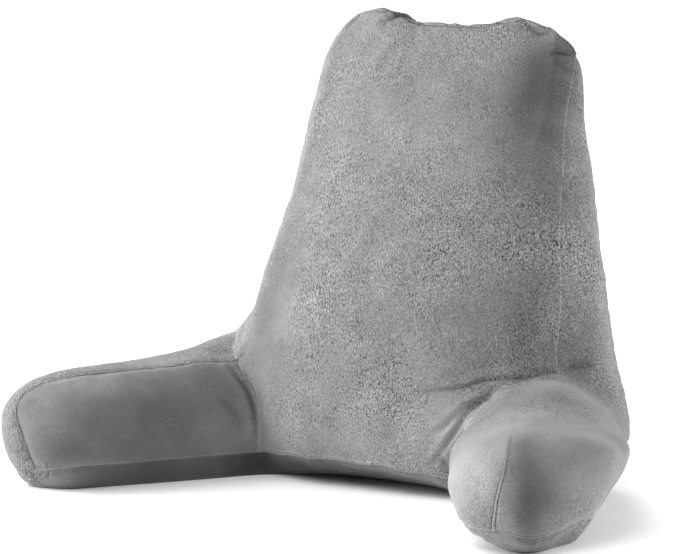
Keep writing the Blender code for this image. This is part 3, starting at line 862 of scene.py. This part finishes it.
class Bench:
    """A new material, and the one way that nodes are added to it."""

    def __init__(self, name):
        self.material = bpy.data.materials.new(name)
        self.material.use_nodes = True
        self.tree = self.material.node_tree

    def feed(self, node, sockets):
        """Wire outputs to a node's numbered or named sockets, or set the sockets' own values."""
        for key, value in sockets.items():
            socket = node.inputs[key.replace("_", " ") if isinstance(key, str) else key]
            if isinstance(value, Wire):
                self.tree.links.new(value.socket, socket)
            else:
                socket.default_value = value

    def node(self, kind, *values, output=0, settings=None, numbered=None, **sockets):
        """One output of a new node; the values feed its first sockets, the others by number or name."""
        node = self.tree.nodes.new("ShaderNode" + kind)
        for name, value in (settings or {}).items():
            setattr(node, name, value)
        self.feed(node, dict(enumerate(values)) | (numbered or {}) | sockets)
        return Wire(self, node.outputs[output])

    def maths(self, operation, *values, kind="Math", **options):
        """A Math or Vector Math node."""
        return self.node(kind, *values, settings={"operation": operation}, **options)

    def ramped(self, value, low, high, floor, ceiling):
        """A value brought from low..high to floor..ceiling with soft ends."""
        return self.node("MapRange", value, low, high, floor, ceiling,
                         settings={"interpolation_type": "SMOOTHSTEP"})

    def noise(self, vector, kind):
        """The value of a kind of noise on these coordinates."""
        if kind.stretch:
            vector = self.node("Mapping", Vector=vector, Scale=kind.stretch, Rotation=kind.turn)
        return self.node("TexNoise", Vector=vector, Scale=kind.scale, Detail=kind.detail,
                         Roughness=kind.roughness)

    def attribute(self, name, output=2):
        """A mesh attribute, as a number or, from output 1, as a vector."""
        return self.node("Attribute", output=output, settings={"attribute_name": name})

    def surfaced(self, **sockets):
        """The material, once its surface is fed."""
        self.feed(self.tree.nodes["Principled BSDF"], sockets)
        return self.material


def plush(settings):
    """Short grey pile with a grain, paler where it is seen from the side, with painted light and shade laid
    on it and painted shade and highlights along its seams.
    """
    bench = Bench("plush")
    where = bench.node("TexCoord", output=3)
    # the pile lies in slowly turning streaks
    drift = bench.node("TexNoise", output=1, Vector=where, Scale=DRIFT_SCALE, Detail=1.0)
    drift = bench.maths("SUBTRACT", drift, (0.5, 0.5, 0.5), kind="VectorMath")
    drift = bench.maths("SCALE", drift, kind="VectorMath", Scale=DRIFT)
    bent = bench.maths("ADD", where, drift, kind="VectorMath")
    streaks, pebbles = bench.noise(bent, STREAKS) - 0.5, bench.noise(bent, PEBBLES) - 0.5
    patches, clouds = bench.noise(where, PATCHES), bench.noise(where, CLOUDS) - 0.5
    strength = bench.ramped(patches, *PEBBLED) * bench.attribute("ruffled")
    grain = (streaks * STREAK_CONTRAST + pebbles * PEBBLE_CONTRAST) * strength
    # the seams: a thin line of painted shade in a groove or painted highlight on a ridge, and a second row
    # of stitches across the lap painted the same way
    parted = bench.node("SeparateXYZ", bench.attribute("beside", 1))
    away, run, lap = [Wire(bench, socket) for socket in parted.socket.node.outputs]
    seam_line = bench.ramped(abs(away), 0.0, LINE_WIDTH, 1.0, 0.0)
    second_line = bench.ramped(abs(away - LAP_WIDTH), 0.0, STITCH_LINE_WIDTH, 1.0, 0.0)
    stitches = bench.maths("COSINE", run * (2.0 * pi / STITCH_PITCH)) * STITCH_CONTRAST
    lines = (seam_line + second_line * (stitches + (1.0 - STITCH_CONTRAST)) * lap) * bench.attribute("seam_light_and_shade")
    tone = (patches - 0.5) * PATCH_TONE + clouds * CLOUD_TONE + grain * GRAIN_TONE
    # random mottling, times the painted light and shade, times the seams' painted shade and highlights
    level = (1.0 + tone * settings.mottling) * (1.0 + bench.attribute("painted_light_and_shade")) * (1.0 + lines)
    height = grain * GRAIN_HEIGHT + clouds * CLOUD_HEIGHT - abs(lines) * LINE_DEPTH
    shaded = bench.node("Mix", 1.0, output=2, settings={"data_type": "RGBA", "blend_type": "MULTIPLY"},
                        numbered={6: (*settings.pile_colour, 1.0), 7: level})
    return bench.surfaced(
        Base_Color=shaded,
        Roughness=bench.ramped(grain, *GRAIN_ROUGHNESS),
        Sheen_Weight=settings.sheen,
        Sheen_Roughness=settings.sheen_roughness,
        Sheen_Tint=(1.0, 1.0, 1.0, 1.0),
        Specular_IOR_Level=SPECULAR,
        Normal=bench.node("Bump", Height=height, Strength=BUMP_STRENGTH, Distance=1.0),
    )


def pale_floor(colour):
    """The matt floor, which glows softly away from the pillow so that its far parts stay as pale."""
    bench = Bench("floor")
    away = bench.maths("LENGTH", bench.node("TexCoord", output=3), kind="VectorMath", output=1)
    return bench.surfaced(
        Base_Color=(*colour, 1.0),
        Roughness=FLOOR_ROUGHNESS,
        Emission_Strength=1.0,
        Emission_Color=bench.ramped(away, *FLOOR_GLOW),
    )


# ---- Settings, operators and panel ----

def number(name, description, high, default, low=0.0, **options):
    """A setting between two limits."""
    return FloatProperty(name=name, description=description, min=low, max=high, default=default, **options)


def shade(name, description, default):
    """A setting that is a colour."""
    return FloatVectorProperty(name=name, description=description, subtype="COLOR", size=3, min=0.0, max=1.0,
                               default=default)


class PlushSettings(PropertyGroup):
    """The cover's fabric."""

    pile_colour: shade("Pile colour", "Colour of the pile seen straight on", (0.222, 0.222, 0.224))
    sheen: number("Sheen", "How pale the pile turns where it is seen from the side", 1.0, 0.42)
    sheen_roughness: number("Sheen softness", "How widely the pale rim spreads", 1.0, 0.5)
    mottling: number("Mottling", "How strongly the brushed pile varies in tone", 2.0, 1.0)


class CoverSettings(PropertyGroup):
    """How the cover is stuffed and sewn."""

    lumps: number("Lumps", "Unevenness of the filling", 3.0, 1.0)
    seams: number("Seam depth", "How far the seams are drawn in", 2.0, 1.0)
    folds: number("Fold depth", "How deep the folds are", 2.0, 1.0)


class StageSettings(PropertyGroup):
    """The floor, the lights and the camera."""

    floor_colour: shade("Floor colour", "Colour of the plain floor", (0.93, 0.93, 0.93))
    room: number("Room light", "Strength of the light from all round", 5.0, 0.10)
    lamps: number("Lamps", "Strength of the soft lamps", 10.0, 1.0)
    floor_light: number("Floor light", "Strength of the light on the floor alone", 20.0, 1.0)
    azimuth: number("Azimuth", "How far round to the right the camera stands", pi, radians(34.468), -pi,
                    subtype="ANGLE")
    elevation: number("Elevation", "How far above level the camera stands", pi / 2, radians(7.385),
                      subtype="ANGLE")
    distance: number("Camera distance", "From the camera to the point it looks at", 20.0, 2.9888, 0.5,
                     unit="LENGTH")
    lens: number("Lens", "Focal length in millimetres", 400.0, 164.60, 20.0)


# How far round to the right a soft lamp stands and how high, in degrees, and its power in watts
LAMPS = (
    ("key", -60, 14, 64.0),
    ("upper_left", -55, 50, 20.0),
    ("front", 10, 45, 22.0),
    ("right_rear", 130, 20, 36.0),
    ("left_rear", -135, 25, 22.0),
)
LAMP_DISTANCE = 2.6
LAMP_SIZE = 1.5
LAMP_TARGET = Vector((0.0, 0.0, 0.2))
FLOOR_LIGHT_SPREAD = radians(110)
FLOOR_SIZE = 30.0  # from its middle to its edges
FLOOR_ROUGHNESS = 0.8
FLOOR_GLOW = (0.35, 1.7, 0.0, 0.85)  # distances from the pillow, and how strongly it glows there
CAMERA_AIM = Vector((-0.07766, 0.0, 0.18771))
CAMERA_SENSOR = 36.0
CAMERA_REACH = 100.0


class PILLOW_OT_cushions(Operator):
    """Sew and stuff the cover, and part it into the backrest and the two arms"""

    bl_idname = "pillow.cushions"
    bl_label = "Cushions"

    def execute(self, context):
        skin = cover_skin(context.scene.pillow_cover)
        material = plush(context.scene.pillow_plush)
        backrest_cuts = []
        for node, side in (("arm_left", -1), ("arm_right", 1)):
            point, normal = arm_plane(side)
            cushion(node, skin, [(point, -normal)], material)
            backrest_cuts.append((point, normal))
        cushion("backrest", skin, backrest_cuts, material)
        bpy.data.meshes.remove(skin)
        return {"FINISHED"}


def stand_off(thing, aim, azimuth, elevation, distance):
    """Stand a thing off from what it faces, this far round to the right from the front and this high up."""
    away = Vector((sin(azimuth) * cos(elevation), -cos(azimuth) * cos(elevation), sin(elevation)))
    thing.location = aim + away * distance
    thing.rotation_euler = (-away).to_track_quat("-Z", "Y").to_euler()


def soft_lamp(name, azimuth, elevation, power):
    """A soft square lamp that faces the pillow."""
    light = bpy.data.lights.new(name, "AREA")
    light.shape = "SQUARE"
    light.size = LAMP_SIZE
    light.energy = power
    stand_off(placed(name, light), LAMP_TARGET, radians(azimuth), radians(elevation), LAMP_DISTANCE)


def plain_floor(settings):
    """The floor, with a light that falls on it alone."""
    slab = bmesh.new()
    bmesh.ops.create_grid(slab, x_segments=1, y_segments=1, size=FLOOR_SIZE)
    mesh = bpy.data.meshes.new("floor")
    slab.to_mesh(mesh)
    slab.free()
    mesh.materials.append(pale_floor(settings.floor_colour))
    floor = placed("floor", mesh)
    sun = bpy.data.lights.new("floor_light", "SUN")
    sun.energy = settings.floor_light
    sun.angle = FLOOR_LIGHT_SPREAD
    lit = bpy.data.collections.new("floor_only")
    lit.objects.link(floor)
    placed("floor_light", sun).light_linking.receiver_collection = lit


class PILLOW_OT_stage(Operator):
    """Set up the plain floor, the soft lights and the camera"""

    bl_idname = "pillow.stage"
    bl_label = "Stage"

    def execute(self, context):
        scene = context.scene
        settings = scene.pillow_stage
        plain_floor(settings)
        for name, azimuth, elevation, power in LAMPS:
            soft_lamp(name, azimuth, elevation, power * settings.lamps)
        scene.world = bpy.data.worlds.new("room")
        scene.world.use_nodes = True
        sky = scene.world.node_tree.nodes["Background"]
        sky.inputs["Color"].default_value = (1.0, 1.0, 1.0, 1.0)
        sky.inputs["Strength"].default_value = settings.room
        lens = bpy.data.cameras.new("camera")
        lens.sensor_width = CAMERA_SENSOR
        lens.lens = settings.lens
        lens.clip_end = CAMERA_REACH
        scene.camera = placed("camera", lens)
        stand_off(scene.camera, CAMERA_AIM, settings.azimuth, settings.elevation, settings.distance)
        scene.view_settings.view_transform = "Standard"
        return {"FINISHED"}


class PILLOW_PT_panel(Panel):
    """Lists the pillow's operators and settings"""

    bl_idname = "PILLOW_PT_panel"
    bl_label = "Reading pillow"
    bl_space_type = "VIEW_3D"
    bl_region_type = "UI"
    bl_category = "Pillow"

    def draw(self, context):
        for group in GROUPS:
            settings = getattr(context.scene, group)
            box = self.layout.box()
            for name in settings.__annotations__:
                box.prop(settings, name)
        for operator in OPERATORS:
            self.layout.operator(operator.bl_idname)


OPERATORS = (PILLOW_OT_cushions, PILLOW_OT_stage)
GROUPS = {"pillow_plush": PlushSettings, "pillow_cover": CoverSettings, "pillow_stage": StageSettings}


def register():
    """Make the settings, operators and panel known."""
    for kind in (*GROUPS.values(), *OPERATORS, PILLOW_PT_panel):
        bpy.utils.register_class(kind)
    for name, group in GROUPS.items():
        setattr(bpy.types.Scene, name, PointerProperty(type=group))


def unregister():
    """Take them away again."""
    for name in GROUPS:
        delattr(bpy.types.Scene, name)
    for kind in (PILLOW_PT_panel, *OPERATORS, *GROUPS.values()):
        bpy.utils.unregister_class(kind)


def main():
    """Build the pillow and its stage."""
    register()
    bpy.ops.pillow.cushions()
    bpy.ops.pillow.stage()


if __name__ == "__main__":
    main()
